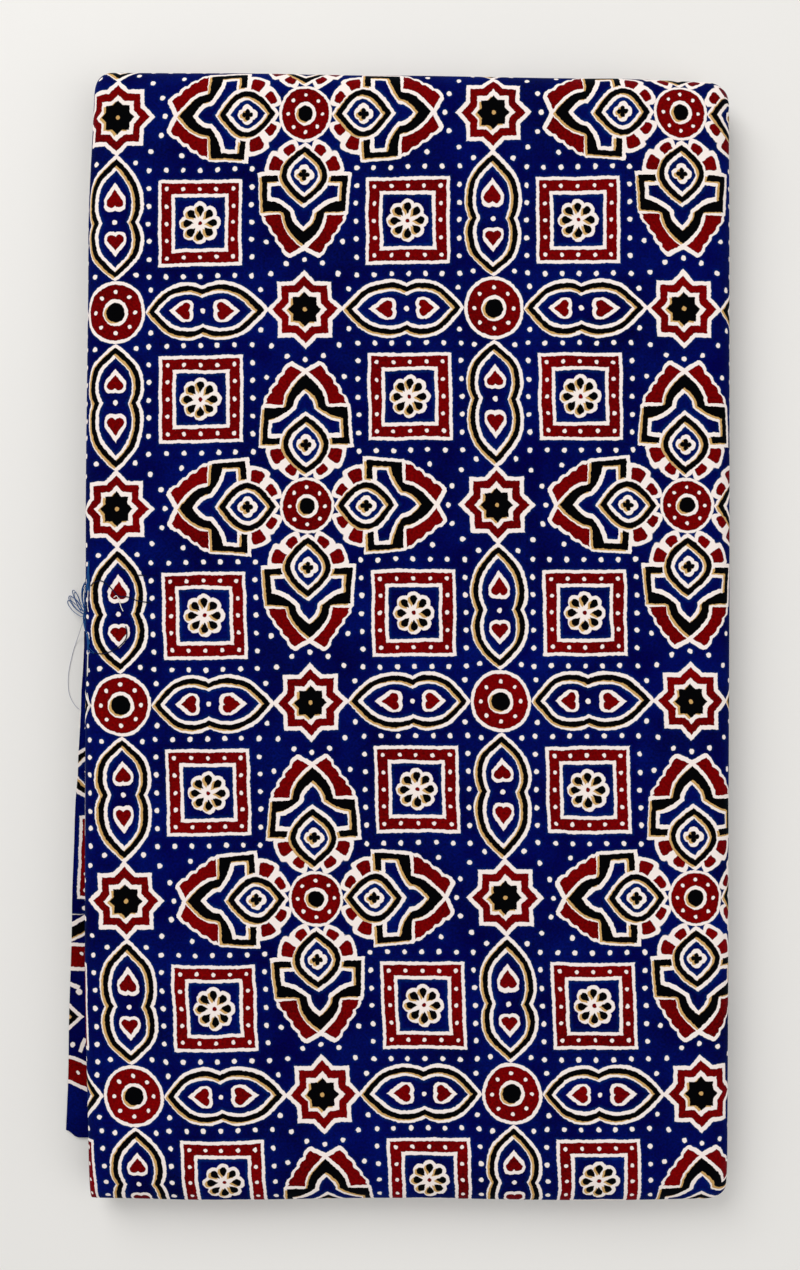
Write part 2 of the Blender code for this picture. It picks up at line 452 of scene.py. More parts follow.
    def ring_dots(self, tree: bpy.types.NodeTree, place: Place, middle: float, at: float) -> Field:
        """Eight dots round a ring.

        Args:
            tree: The tree that gets the nodes.
            place: The place on the repeat.
            middle: Where the ring's middle lies, both along and aside.
            at: The radius of the circle that the dots lie on.

        Returns:
            The distance to the nearest dot's middle.
        """
        return Place(tree, *self.eighth(place, middle)).apart(at, 0.0)

    def frame_dots(self, place: Place) -> Field:
        """Five dots along each side of the framed flower's red frame."""
        away = place.moved(self.square_at, self.square_at)
        out = away.along.math("MAXIMUM", away.aside)
        along = away.along.math("MINIMUM", away.aside).math("WRAP", 3.85, -3.85)
        return Place(place.tree, out, along).apart(15.45, 0.0)

    def group(self) -> bpy.types.NodeTree:
        """A node group that gives the print's colour and the share of each paint."""
        tree = bpy.data.node_groups.new("block_print", "ShaderNodeTree")
        tree.interface.new_socket("Vector", in_out="INPUT", socket_type="NodeSocketVector")
        for name in ("White", "Red", "Tan", "Black", "Bleed"):
            tree.interface.new_socket(name, in_out="OUTPUT", socket_type="NodeSocketFloat")
        start = add_node(tree, "NodeGroupInput", {})
        point = start.outputs[0]
        x, y = self.quadrant(tree, point)
        quarter = Place(tree, x, y)
        place = Place(tree, x.math("MAXIMUM", y), x.math("MINIMUM", y))
        half = self.repeat / 2
        middle = place.apart(0.0, 0.0)
        corner = place.apart(half, half)
        oval = self.oval_shape(place)
        eye = self.eye_shape(place)
        square = self.square_shape(place)
        arm_outline = place.under(Edge.OUTLINE.value, half).both(place.beyond(61.5, 0.0, NOTCH))
        scallop = Place(tree, *self.eighth(place, self.square_at))
        heart, heart_outline = self.heart(place)
        outlines = (middle - self.rosette[0]).either(
            corner - self.ring[0], self.star_shape(place, self.star[0]), oval, square - self.square[0],
            arm_outline, eye - self.line, self.arm_petals(place, PETAL_LINE), self.spots(quarter) - 1.12,
        )
        white = outlines.inside(self.edge)
        wing = place.under(Edge.WING_TOP.value, half).both(
            -place.under(Edge.WING_FOOT.value, half), -(place.along - 45.6), place.beyond(59.2, 0.0, NOTCH)
        )
        reds = (middle - self.rosette[1]).either(
            corner - self.ring[1], self.star_shape(place, self.star[1]), square - self.square[1], wing,
            self.arm_petals(place, 0.1).both(-(eye - self.line * 0.6)),
        )
        red = reds.inside(self.edge)
        white = white * (red * -1.0 + 1.0)
        second = (middle - self.rosette[2]).either(
            corner - self.ring[2], self.star_shape(place, self.star[2]), square - self.square[2],
            self.ring_dots(tree, place, 0.0, 8.25) - 0.85, self.ring_dots(tree, place, half, 9.2) - 0.95,
            self.frame_dots(place) - 0.95, eye.both(-(eye + 4.0)),
        ).inside(self.edge)
        white = white.math("MAXIMUM", second)
        red = red * (second * -1.0 + 1.0)
        wells = (square - self.square[3]).either(
            oval + 5.6, eye + 4.0, place.under(Edge.INNER_BLUE.value, half).both(-(eye - self.line)),
        )
        white = white * (wells.inside(self.edge) * -1.0 + 1.0)
        third = heart_outline.either(
            scallop.apart(6.3, 0.0) - 3.35, self.ring_dots(tree, place, self.square_at, 0.0) - 5.6,
            place.apart(half, self.oval_at) - 1.1, self.eye_flower(place, 2.55, 2.1),
        ).inside(self.edge)
        white = white.math("MAXIMUM", third)
        fourth = heart.either(self.ring_dots(tree, place, self.square_at, 0.0) - 0.95).inside(self.edge)
        white = white * (fourth * -1.0 + 1.0)
        red = red.math("MAXIMUM", fourth)
        blocks = self.black_group()
        black_node = add_node(tree, "ShaderNodeGroup", {}, node_tree=blocks)
        tree.links.new(point, black_node.inputs[0])
        black = Field(tree, black_node.outputs[0]).inside(self.edge)
        slipped = add_node(tree, "ShaderNodeVectorMath", {0: point, 1: (*self.slip, 0.0)}, operation="ADD")
        ghost_node = add_node(tree, "ShaderNodeGroup", {}, node_tree=blocks)
        tree.links.new(slipped.outputs[0], ghost_node.inputs[0])
        ghost = Field(tree, ghost_node.outputs[0]).inside(self.edge)
        pip = (place.apart(half, 0.0) - 0.95).inside(self.edge)
        tan = (ghost * white).math("MAXIMUM", pip)
        black = black * (pip * -1.0 + 1.0)
        bleed = (outlines - 0.5).inside(1.3) * ((wells + 0.9).inside(1.4) * -1.0 + 1.0)
        add_node(tree, "NodeGroupOutput", {0: white, 1: red, 2: tan, 3: black, 4: bleed})
        return tree


class Paints(NamedTuple):
    """The share of each paint over the dyed ground."""

    white: Field
    red: Field
    tan: Field
    black: Field


@dataclass(frozen=True)
class EndBorder:
    """The border printed across the saree's raw end, in millimetres from that end.

    From the end on it has a plain stretch, a waving red band with dots, a row of pointed leaves
    with curls between them, a straight red band, and a row of arches below the block print.
    """

    repeat: float = 44.0
    waving_at: float = 29.0
    swing: float = 2.9
    band: float = 4.9
    line: float = 1.8
    leaf_at: float = 56.0
    leaf_long: float = 7.6
    leaf_half: float = 9.2
    straight_at: float = 84.0
    arch_at: float = 98.0
    field_from: float = 103.5
    edge: float = 0.24

    def paints(self, end: Place) -> Paints:
        """The border's paints.

        Args:
            end: The place, along from the raw end and aside from a selvedge.

        Returns:
            The share of each paint.
        """
        folded = end.aside.math("PINGPONG", self.repeat / 2)
        wave = (end.aside * (2 * math.pi / self.repeat) + 0.43).math("COSINE") * self.swing
        waving = abs(end.along - wave - self.waving_at) - self.band
        straight = abs(end.along - self.straight_at) - self.band
        row = Place(end.tree, (end.aside + 2.4).math("PINGPONG", 3.6), end.along - wave)
        dots = row.apart(0.0, self.waving_at).either(row.apart(0.0, self.straight_at + 0.2)) - 0.95
        leaf_place = Place(end.tree, abs(end.along - self.leaf_at), folded)
        slope = math.degrees(math.atan2(self.leaf_long, self.leaf_half))
        leaf = leaf_place.beyond(0.0, self.leaf_long, slope)
        loose = Place(end.tree, folded, end.along)
        spots = loose.apart(2.0, 43.4).either(loose.apart(7.5, 107.4)) - 1.2
        curl = (loose.apart(4.6, 67.6) - 1.5).either(
            (abs(loose.beyond(0.0, 71.0, 70.0)) - 1.0).both(loose.beyond(4.6, 69.3, -20.0))
        )
        stroke = (abs(loose.beyond(5.7, 40.0, -22.6)) - 0.95).both(
            loose.beyond(8.4, 46.5, 67.4), -loose.beyond(5.7, 40.0, 67.4)
        )
        pointed = (end.along - folded * 0.53 - self.arch_at) * 0.88
        white = waving.either(straight) - self.line
        white = white.either(leaf, spots, curl, abs(pointed - 0.9) - 0.95, stroke)
        black = (leaf + 1.7).both(-(leaf + 4.0))
        arch_black = (pointed + 0.2).both(-(pointed + 4.4))
        inner_line = abs(pointed + 5.2) - 0.8
        red = waving.either(straight)
        white_share = white.either(inner_line).inside(self.edge)
        red_share = red.inside(self.edge)
        dot_share = dots.inside(self.edge)
        black_share = black.either(arch_black).inside(self.edge)
        tan = (leaf + 3.4).both(-(leaf + 4.6)).either(abs(pointed + 4.6) - 0.35).inside(self.edge)
        white_share = (white_share * (red_share * -1.0 + 1.0)).math("MAXIMUM", dot_share)
        return Paints(white_share, red_share * (dot_share * -1.0 + 1.0), tan, black_share)

    def group(self) -> bpy.types.NodeTree:
        """A node group that gives the border's paints and where the block print takes over."""
        tree = bpy.data.node_groups.new("end_border", "ShaderNodeTree")
        tree.interface.new_socket("Along", in_out="INPUT", socket_type="NodeSocketFloat")
        tree.interface.new_socket("Aside", in_out="INPUT", socket_type="NodeSocketFloat")
        for name in ("White", "Red", "Tan", "Black", "Field"):
            tree.interface.new_socket(name, in_out="OUTPUT", socket_type="NodeSocketFloat")
        start = add_node(tree, "NodeGroupInput", {})
        end = Place(tree, Field(tree, start.outputs[0]), Field(tree, start.outputs[1]))
        paints = self.paints(end)
        field_share = (end.along * -1.0 + self.field_from).inside(0.5)
        add_node(tree, "NodeGroupOutput", dict(enumerate((*paints, field_share))))
        return tree


@dataclass(frozen=True)
class Stretch:
    """A stretch of the cloth, as its print sees it, in millimetres."""

    origin: tuple[float, float]  # a rosette's middle
    lean: float = 0.0  # how far the columns lean to the right on their way down
    bow: float = 0.0  # and how that grows along the cloth
    tilt: float = 0.0  # how far the rows climb to the right
    sag: float = 0.0  # how that grows across the cloth
    fan: float = 0.0  # and along it
    corner: Optional[tuple[float, float]] = None  # where the raw end meets a selvedge


@dataclass(frozen=True)
class PrintedMuslin:
    """Mulmul, a soft plain-woven cotton, dyed and block-printed: matt, with a faint nap at its edges."""

    indigo: str = "000040"
    indigo_pale: str = "001263"
    bleed: str = "043A78"  # where the indigo crept under the resist
    madder: str = "6C0001"
    white: str = "F8EBE4"
    tan: str = "CBA163"
    iron_black: str = "020203"
    roughness: float = 0.92
    sheen: float = 0.10
    sheen_tint: str = "3A8CC8"
    specular: float = 0.03
    mottle: float = 1.9
    cloud: float = 1.3
    thread_mm: float = 0.55  # mulmul's threads lie about 0.3 mm apart, drawn coarser so that they show

    def material(self, pattern: BlockPrint, stretch: Stretch, border: EndBorder) -> bpy.types.Material:
        """Makes the cloth's material for one stretch of it.

        Args:
            pattern: The print on it.
            stretch: Which stretch it is.
            border: The border at the raw end.

        Returns:
            The material, which reads the piece's own UV map, in metres on the cloth.
        """
        material = bpy.data.materials.new("block_printed_muslin")
        material.use_nodes = True
        tree = material.node_tree
        shader = tree.nodes["Principled BSDF"]
        shader.inputs["Roughness"].default_value = self.roughness
        shader.inputs["Sheen Weight"].default_value = self.sheen
        shader.inputs["Sheen Roughness"].default_value = 0.35
        shader.inputs["Sheen Tint"].default_value = linear(self.sheen_tint)
        shader.inputs["Specular IOR Level"].default_value = self.specular
        uv = add_node(tree, "ShaderNodeUVMap", {}, uv_map="cloth").outputs[0]
        flat = add_node(tree, "ShaderNodeVectorMath", {0: uv, 1: (1000.0,) * 3}, operation="MULTIPLY")
        point = flat.outputs[0]
        for size, reach in ((120.0, 0.6), (14.0, 0.75), (1.6, 0.42)):
            point = self.stirred(tree, point, flat.outputs[0], size, reach)
        split = add_node(tree, "ShaderNodeSeparateXYZ", {0: point})
        x, y = Field(tree, split.outputs[0]), Field(tree, split.outputs[1])
        from_rosette = y - stretch.origin[1]
        leaning = from_rosette * (from_rosette * stretch.bow + stretch.lean)
        climbing = x * (x * stretch.sag + y * stretch.fan + stretch.tilt)
        over = (x + leaning - stretch.origin[0]) * (pattern.repeat / pattern.across)
        up = (from_rosette + climbing) * (pattern.repeat / pattern.down)
        joined = add_node(tree, "ShaderNodeCombineXYZ", {0: over, 1: up, 2: 0.0})
        prints = add_node(tree, "ShaderNodeGroup", {}, node_tree=pattern.group())
        tree.links.new(joined.outputs[0], prints.inputs[0])
        names = ("White", "Red", "Tan", "Black")
        shares = [Field(tree, prints.outputs[name]) for name in names]
        bleed = Field(tree, prints.outputs["Bleed"]) * 0.30
        if stretch.corner is not None:
            ends = add_node(tree, "ShaderNodeGroup", {}, node_tree=border.group())
            tree.links.new((-(y - stretch.corner[1])).socket, ends.inputs[0])
            tree.links.new((-(x - stretch.corner[0])).socket, ends.inputs[1])
            field_share = Field(tree, ends.outputs["Field"])
            bleed = bleed * field_share
            edging = [Field(tree, ends.outputs[name]) for name in names]
            shares = [
                (share - other).math("MULTIPLY_ADD", field_share, other)
                for share, other in zip(shares, edging)
            ]
        at = flat.outputs[0]
        colour = add_node(
            tree, "ShaderNodeMix", {"Factor": bleed, 6: self.ground(tree, at), 7: linear(self.bleed)},
            data_type="RGBA",
        ).outputs[2]
        colour = self.mottled(tree, at, colour)
        red = self.mottled(tree, at, linear(self.madder))
        paints = (linear(self.white), red, linear(self.tan), linear(self.iron_black))
        for share, paint in zip(shares, paints):
            colour = add_node(
                tree, "ShaderNodeMix", {"Factor": share, 6: colour, 7: paint}, data_type="RGBA"
            ).outputs[2]
        tree.links.new(colour, shader.inputs["Base Color"])
        self.weave(tree, at, shader)
        return material

    def mottled(
        self, tree: bpy.types.NodeTree, at: bpy.types.NodeSocket,
        colour: Union[bpy.types.NodeSocket, tuple[float, ...]],
    ) -> bpy.types.NodeSocket:
        """A dye that took up unevenly, from thread to thread and in broad soft clouds."""
        fine = add_node(tree, "ShaderNodeTexNoise", {"Vector": at, "Scale": 1.0 / 1.1, "Detail": 2.0})
        broad = add_node(tree, "ShaderNodeTexNoise", {"Vector": at, "Scale": 1.0 / 38.0, "Detail": 2.0})
        clouds = Field(tree, broad.outputs[0]) * self.cloud
        level = Field(tree, fine.outputs[0]).times_plus(self.mottle, clouds)
        level = level + (1.0 - (self.mottle + self.cloud) / 2)
        dye = colour if isinstance(colour, bpy.types.NodeSocket) else colour[:3]
        scaled = add_node(tree, "ShaderNodeVectorMath", {0: dye, "Scale": level}, operation="SCALE")
        return scaled.outputs[0]

    def stirred(
        self, tree: bpy.types.NodeTree, point: bpy.types.NodeSocket, at: bpy.types.NodeSocket,
        size: float, reach: float,
    ) -> bpy.types.NodeSocket:
        """Moves the print about a little, as a hand-held block and soft cloth do.

        Args:
            tree: The tree that gets the nodes.
            point: The point to move.
            at: Where it is moved from, in millimetres.
            size: The size of the waves, in millimetres.
            reach: How far a point may move in all, in millimetres.

        Returns:
            The moved point.
        """
        waves = add_node(tree, "ShaderNodeTexNoise", {"Vector": at, "Scale": 1.0 / size, "Detail": 1.0})
        centred = add_node(
            tree, "ShaderNodeVectorMath", {0: waves.outputs["Color"], 1: (0.5,) * 3}, operation="SUBTRACT"
        )
        scaled = add_node(
            tree, "ShaderNodeVectorMath", {0: centred.outputs[0], 1: (2 * reach,) * 3}, operation="MULTIPLY"
        )
        moved = add_node(tree, "ShaderNodeVectorMath", {0: point, 1: scaled.outputs[0]}, operation="ADD")
        return moved.outputs[0]

    def ground(self, tree: bpy.types.NodeTree, at: bpy.types.NodeSocket) -> bpy.types.NodeSocket:
        """The indigo ground, a little uneven as dyed cloth is."""
        cloud = add_node(tree, "ShaderNodeTexNoise", {"Vector": at, "Scale": 1.0 / 22.0, "Detail": 3.0})
        share = Field(tree, cloud.outputs[0]).times_plus(2.0, -0.66, clamp=True)
        mix = add_node(
            tree, "ShaderNodeMix",
            {"Factor": share * 0.75, 6: linear(self.indigo), 7: linear(self.indigo_pale)}, data_type="RGBA",
        )
        return mix.outputs[2]

    def weave(self, tree: bpy.types.NodeTree, at: bpy.types.NodeSocket, shader: bpy.types.Node) -> None:
        """Adds the threads of the plain weave and the nap's fine unevenness as a bump."""
        split = add_node(tree, "ShaderNodeSeparateXYZ", {0: at})
        turns = 2 * math.pi / self.thread_mm
        warp = (Field(tree, split.outputs[0]) * turns).math("SINE")
        weft = (Field(tree, split.outputs[1]) * turns).math("SINE")
        slub = add_node(tree, "ShaderNodeTexNoise", {"Vector": at, "Scale": 1.0 / 0.9, "Detail": 2.0})
        height = (warp * weft).times_plus(0.5, Field(tree, slub.outputs[0]) * 1.5)
        bump = add_node(tree, "ShaderNodeBump", {"Height": height, "Strength": 0.35, "Distance": 0.00012})
        tree.links.new(bump.outputs[0], shader.inputs["Normal"])


class Panel(NamedTuple):
    """How unevenly an inner panel lies: how far its sides and its far or near fold are drawn in."""

    left_in: float
    right_in: float
    fold_in: float


PANELS = (
    Panel(0.0012, 0.0035, 0.0004), Panel(0.0004, 0.0022, 0.0030), Panel(0.0026, 0.0008, 0.0009),
    Panel(0.0010, 0.0004, 0.0046), Panel(0.0031, 0.0017, 0.0002), Panel(0.0016, 0.0006, 0.0021),
    Panel(0.0005, 0.0024, 0.0013), Panel(0.0020, 0.0011, 0.0038), Panel(0.0009, 0.0003, 0.0005),
    Panel(0.0014, 0.0019, 0.0017), Panel(0.0007, 0.0010, 0.0960),
)


class Side(NamedTuple):
    """Where the outline wanders off the plain rectangle, at a share of the way across or along."""

    share: float
    low: float
    high: float


SIDES = (
    Side(0.00, 0.0016, -0.0008), Side(0.22, -0.0002, -0.0004), Side(0.60, 0.0002, 0.0002),
    Side(0.85, 0.0014, 0.0002), Side(1.00, 0.0042, 0.0000),
)
EDGES = (
    Side(0.00, 0.0004, 0.0014), Side(0.20, -0.0006, 0.0012), Side(0.45, 0.0003, 0.0002),
    Side(0.80, -0.0007, -0.0011), Side(1.00, 0.0002, -0.0030),
)
# How far the bottom panel's left side lies beyond the top panel's, along the bundle from near to far
SKEW = (
    Side(0.00, 0.0137, 0.0), Side(0.13, 0.0119, 0.0), Side(0.25, 0.0104, 0.0), Side(0.34, 0.0091, 0.0),
    Side(0.38, 0.0076, 0.0), Side(0.44, 0.0062, 0.0), Side(0.49, 0.0048, 0.0), Side(0.75, 0.0005, 0.0),
    Side(1.00, -0.0036, 0.0),
)


class Swell(NamedTuple):
    """A soft rise or hollow in the pile, as a share of its height."""

    across: float
    along: float
    radius: float
    share: float


SWELLS = (
    Swell(0.010, 0.070, 0.170, 0.045), Swell(-0.070, -0.120, 0.110, 0.030),
    Swell(0.085, -0.160, 0.100, 0.026), Swell(0.055, 0.165, 0.095, -0.020),
    Swell(-0.095, 0.150, 0.090, 0.018), Swell(0.000, -0.215, 0.080, -0.022),
)


def smooth(share: np.ndarray) -> np.ndarray:
    """The shares, held between 0 and 1 and eased at both ends."""
    held = np.clip(share, 0.0, 1.0)
    return held * held * (3.0 - 2.0 * held)


def wander(table: Sequence[Side], share: np.ndarray) -> tuple[np.ndarray, np.ndarray]:
    """The low and high values of a table of Side rows, eased from row to row.

    Args:
        table: The rows, by rising share.
        share: Where the values are wanted.

    Returns:
        The low values and the high ones.
    """
    held = np.clip(share, 0.0, 1.0)
    low = np.full_like(held, table[-1].low)
    high = np.full_like(held, table[-1].high)
    for near, far in reversed(list(zip(table, table[1:]))):
        part = smooth((held - near.share) / (far.share - near.share))
        here = held <= far.share
        low = np.where(here, near.low + (far.low - near.low) * part, low)
        high = np.where(here, near.high + (far.high - near.high) * part, high)
    return low, high


@dataclass
class Strip:
    """The saree folded lengthwise in four and laid back and forth: its middle surface."""

    width: float = 0.291
    length: float = 0.512
    sheet: float = 0.00135
    gap: float = 0.0005
    far_reach: float = 0.013
    near_reach: float = 0.026
    left_bend: float = 0.0072
    left_droop: float = 0.0066
    right_bend: float = 0.0100
    right_droop: float = 0.0078
    free_end_short: float = 0.0235
    free_end_corner: float = 0.0035
    bottom_width: float = 0.287
    pitch: float = field(init=False)
    bottom: float = field(init=False)
    top: float = field(init=False)
    clear: float = field(init=False)
    fold: float = field(init=False)
    span: float = field(init=False)

    def __post_init__(self) -> None:
        """Works out the heights, and the top panel's profile across the bundle."""
        self.pitch = self.sheet + self.gap
        self.bottom = self.sheet / 2
        self.top = self.bottom + (len(PANELS) + 1) * self.pitch
        self.clear = self.sheet / 2 + self.gap
        self.fold = self.pitch / 2
        turns = np.linspace(0.0, math.pi / 2, 60)
        left = (self.left_bend - self.width / 2 - self.left_bend * np.sin(turns[::-1]))
        right = (self.width / 2 - self.right_bend + self.right_bend * np.sin(turns))
        self.profile_x = np.concatenate([left, right])
        self.profile_drop = self.drop_at(self.profile_x)
        steps = np.hypot(np.diff(self.profile_x), np.diff(self.profile_drop))
        self.profile_far = np.concatenate([[0.0], np.cumsum(steps)])
        self.span = float(self.profile_far[-1])
        self.middle_far = float(np.interp(0.0, self.profile_x, self.profile_far))

    def drop_at(self, x: np.ndarray) -> np.ndarray:
        """How far the top panel has drooped at these x."""
        bend = np.where(x > 0, self.right_bend, self.left_bend)
        droop = np.where(x > 0, self.right_droop, self.left_droop)
        past = np.clip((np.abs(x) - (self.width / 2 - bend)) / bend, 0.0, 1.0)
        return droop * (1.0 - np.sqrt(1.0 - past * past))

    def outer(self, across: np.ndarray) -> np.ndarray:
        """The x at these shares of the way across the top panel, measured on the cloth."""
        return np.interp(across * self.span, self.profile_far, self.profile_x)

    def side_room(self, bend: float, droop: float, height: float) -> float:
        """How far a flat panel at this height stays inside a side that bends and droops this far."""
        past = max(droop - (self.top - height - self.sheet / 2), 0.0) / (droop - self.clear)
        return bend - (bend - self.clear) * math.sqrt(max(1.0 - past * past, 0.0))

    def inner(self, panel: Panel, height: float, across: np.ndarray) -> np.ndarray:
        """The x at these shares of the way across an inner panel."""
        left = self.side_room(self.left_bend, self.left_droop, height) + panel.left_in - self.width / 2
        right = self.width / 2 - self.side_room(self.right_bend, self.right_droop, height) - panel.right_in
        return left + (right - left) * across

    def under(self, y: np.ndarray, across: np.ndarray) -> np.ndarray:
        """The x at these shares of the way across the bottom panel, which lies askew."""
        left = -self.width / 2 - wander(SKEW, y / self.length + 0.5)[0]
        return left + self.bottom_width * across

    def settle(self, points: np.ndarray) -> np.ndarray:
        """Moves the points of the neat bundle to where they lie in the real one, a little uneven."""
        x, y, z = points[..., 0], points[..., 1], points[..., 2]
        rise = sum(
            s.share * np.exp(-((x - s.across) ** 2 + (y - s.along) ** 2) / s.radius**2) for s in SWELLS
        )
        lift = smooth((z - self.bottom) / self.pitch)
        across, along = x / self.width + 0.5, y / self.length + 0.5
        left, right = wander(SIDES, along)
        near, far = wander(EDGES, across)
        return np.stack([
            x + (left + (right - left) * across) * lift,
            y + (near + (far - near) * along) * lift,
            self.bottom + (z - self.bottom) * (1.0 + rise),
        ], axis=-1)


@dataclass
class Roll:
    """One of the two outer turns: its direction in Y, its reach and the height of its lower sheet."""

    strip: Strip
    way: int
    reach: float
    low: float
    draw: tuple[float, float] = (1.0, 1.0)  # how much of the droop draws the nose in, left and right

    @property
    def start(self) -> float:
        """The distance from the middle of the bundle at which the roll begins."""
        return self.strip.length / 2 - self.strip.sheet / 2 - self.reach

    @property
    def middle(self) -> float:
        """The height at which the nose stands."""
        return (self.strip.top + self.low) / 2

    def fold_room(self, x: np.ndarray, height: float) -> np.ndarray:
        """How far past the roll's start a fold may reach inside it."""
        strip = self.strip
        upper = strip.top - strip.drop_at(x) - self.middle
        tall = (upper if height > self.middle else np.full_like(x, self.middle - self.low)) - strip.clear
        off = abs(height - self.middle) + strip.fold + strip.sheet / 2
        ratio = np.clip(off / np.maximum(tall, 1e-6), 0.0, 1.0)
        return np.maximum(self.reach - strip.drop_at(x) - strip.clear, 0.0) * np.sqrt(1.0 - ratio**2)

    def rows(self, turns: np.ndarray, below: np.ndarray, across: np.ndarray) -> np.ndarray:
        """The roll's middle surface, from its lower sheet to the top.

        Args:
            turns: How far round each row is, from 0 below to 1 on top.
            below: The x of each column on the lower sheet.
            across: The share of the way across of each column.

        Returns:
            The points, by row and column.
        """
        strip = self.strip
        x_top = strip.outer(across)
        drop = strip.drop_at(x_top)
        drawn = drop * np.where(x_top < 0, *self.draw)
        angle = (turns * math.pi)[:, None]
        eased = smooth(2.0 * turns)[:, None]
        y = self.way * (self.start + (self.reach - drawn) * np.sin(angle))
        end = np.where(turns[:, None] < 0.5, self.low, strip.top - drop)
        z = self.middle + (end - self.middle) * np.abs(np.cos(angle))
        x = below + (x_top - below) * eased
        return np.stack([x, y, z], axis=-1)


@dataclass
class Section:
    """A stretch of the strip: its name, and the points of its middle surface by row and column."""

    name: str
    rows: np.ndarray


class Detail(NamedTuple):
    """How many steps each stretch of the strip is drawn with."""

    columns: int
    bottom: int
    far: int
    top: int
    near: int
    panel: int
    fold: int


COARSE = Detail(columns=44, bottom=48, far=22, top=40, near=26, panel=16, fold=8)
FINE = Detail(columns=120, bottom=48, far=44, top=200, near=50, panel=16, fold=8)
HIDDEN = FINE._replace(columns=28)


@dataclass
class Bundle:
    """Lays the strip out and makes the plies of cloth that it is folded from."""

    strip: Strip
    ply: float = field(init=False)

    def __post_init__(self) -> None:
        """Works out the plies' pitch and the two rolls."""
        self.ply = self.strip.sheet / 4
        self.far = Roll(self.strip, 1, self.strip.far_reach, self.strip.bottom)
        second = self.strip.bottom + self.strip.pitch
        self.near = Roll(self.strip, -1, self.strip.near_reach, second, draw=(0.0, 0.75))
        self.shift = np.zeros(3)
        whole = np.concatenate([s.rows.reshape(-1, 3) for s in self.sections(COARSE)])
        low, high = whole.min(axis=0), whole.max(axis=0)
        self.shift = -np.array([low[0] + high[0], low[1] + high[1], 0.0]) / 2

    def columns(self, detail: Detail) -> np.ndarray:
        """Shares of the way across, closer together where the sides turn down."""
        even = np.linspace(0.0, 1.0, detail.columns + 1)
        return even - np.sin(2 * math.pi * even) * 0.13

    def sections(self, detail: Detail) -> list[Section]:
        """The stretches of the strip in order, from the free end to the inner end."""
        strip, far, near = self.strip, self.far, self.near
        across = self.columns(detail)
        y = np.linspace(-strip.length / 2 + strip.free_end_short, far.start, detail.bottom + 1)[:, None]
        under = strip.under(y, across[None, :])
        along = np.broadcast_to(y, under.shape).copy()
        corner = np.minimum(across, 1 - across) / 0.02
        fade = np.exp(-np.arange(detail.bottom + 1) / 1.2)[:, None]
        along += strip.free_end_corner * (1 - smooth(corner)) * fade
        found = [Section("bottom", np.stack([under, along, np.full_like(under, strip.bottom)], axis=-1))]
        turns = np.linspace(0.0, 1.0, detail.far + 1)
        start = strip.under(np.array(far.start), across)
        found.append(Section("far", far.rows(turns, start, across)))
        y = np.linspace(far.start, -near.start, detail.top + 1)[:, None]
        x = np.broadcast_to(strip.outer(across), (len(y), len(across)))
        y = np.broadcast_to(y, x.shape)
        found.append(Section("top", np.stack([x, y, strip.top - strip.drop_at(x)], axis=-1)))
        turns = np.linspace(1.0, 0.0, detail.near + 1)
        first = strip.inner(PANELS[0], strip.bottom + strip.pitch, across)
        found.append(Section("near", near.rows(turns, first, across)))
        begin, columns = np.full_like(across, -near.start), first
        for index, panel in enumerate(PANELS):
            height = strip.bottom + (index + 1) * strip.pitch
            roll = far if index % 2 == 0 else near
            reach = roll.start + roll.fold_room(columns, height + strip.fold) - panel.fold_in
            end = roll.way * (reach - strip.fold - strip.sheet / 2)
            share = np.linspace(0.0, 1.0, detail.panel + 1)[:, None]
            y = begin + (end - begin) * share
            x = np.broadcast_to(columns, y.shape)
            found.append(Section(f"panel_{index + 1}", np.stack([x, y, np.full_like(y, height)], axis=-1)))
            if index + 1 == len(PANELS):
                break
            following = strip.inner(PANELS[index + 1], height + strip.pitch, across)
            turn = np.linspace(0.0, math.pi, detail.fold + 1)[:, None]
            y = end + roll.way * strip.fold * np.sin(turn)
            z = np.broadcast_to(height + strip.fold * (1 - np.cos(turn)), y.shape)
            x = columns + (following - columns) * turn / math.pi
            found.append(Section(f"fold_{index + 1}", np.stack([x, y, z], axis=-1)))
            begin, columns = end, following
        for section in found:
            section.rows = strip.settle(section.rows) + self.shift
        return found


class Run(NamedTuple):
    """One ply of the strip in cross-section: how many plies' pitches it lies above the middle, which
    way the cloth runs along it, and the turn that joins it to the next ply.
    """

    offset: float
    way: int
    turn_middle: float
    turn_radius: float
    turn_up: int


# From one selvedge to the other, as the cloth is folded in four: halved, and halved again
RUNS = (
    Run(-0.5, 1, 0.0, 0.5, 1),
    Run(0.5, -1, 1.0, 0.5, 1),
    Run(1.5, 1, 0.0, 1.5, -1),
    Run(-1.5, -1, 0.0, 0.0, 0),
)


@dataclass
class Web:
    """A grid of the cloth: its points, and where each column and row lies on the cloth, in metres."""

    points: np.ndarray
    across: np.ndarray
    along: np.ndarray


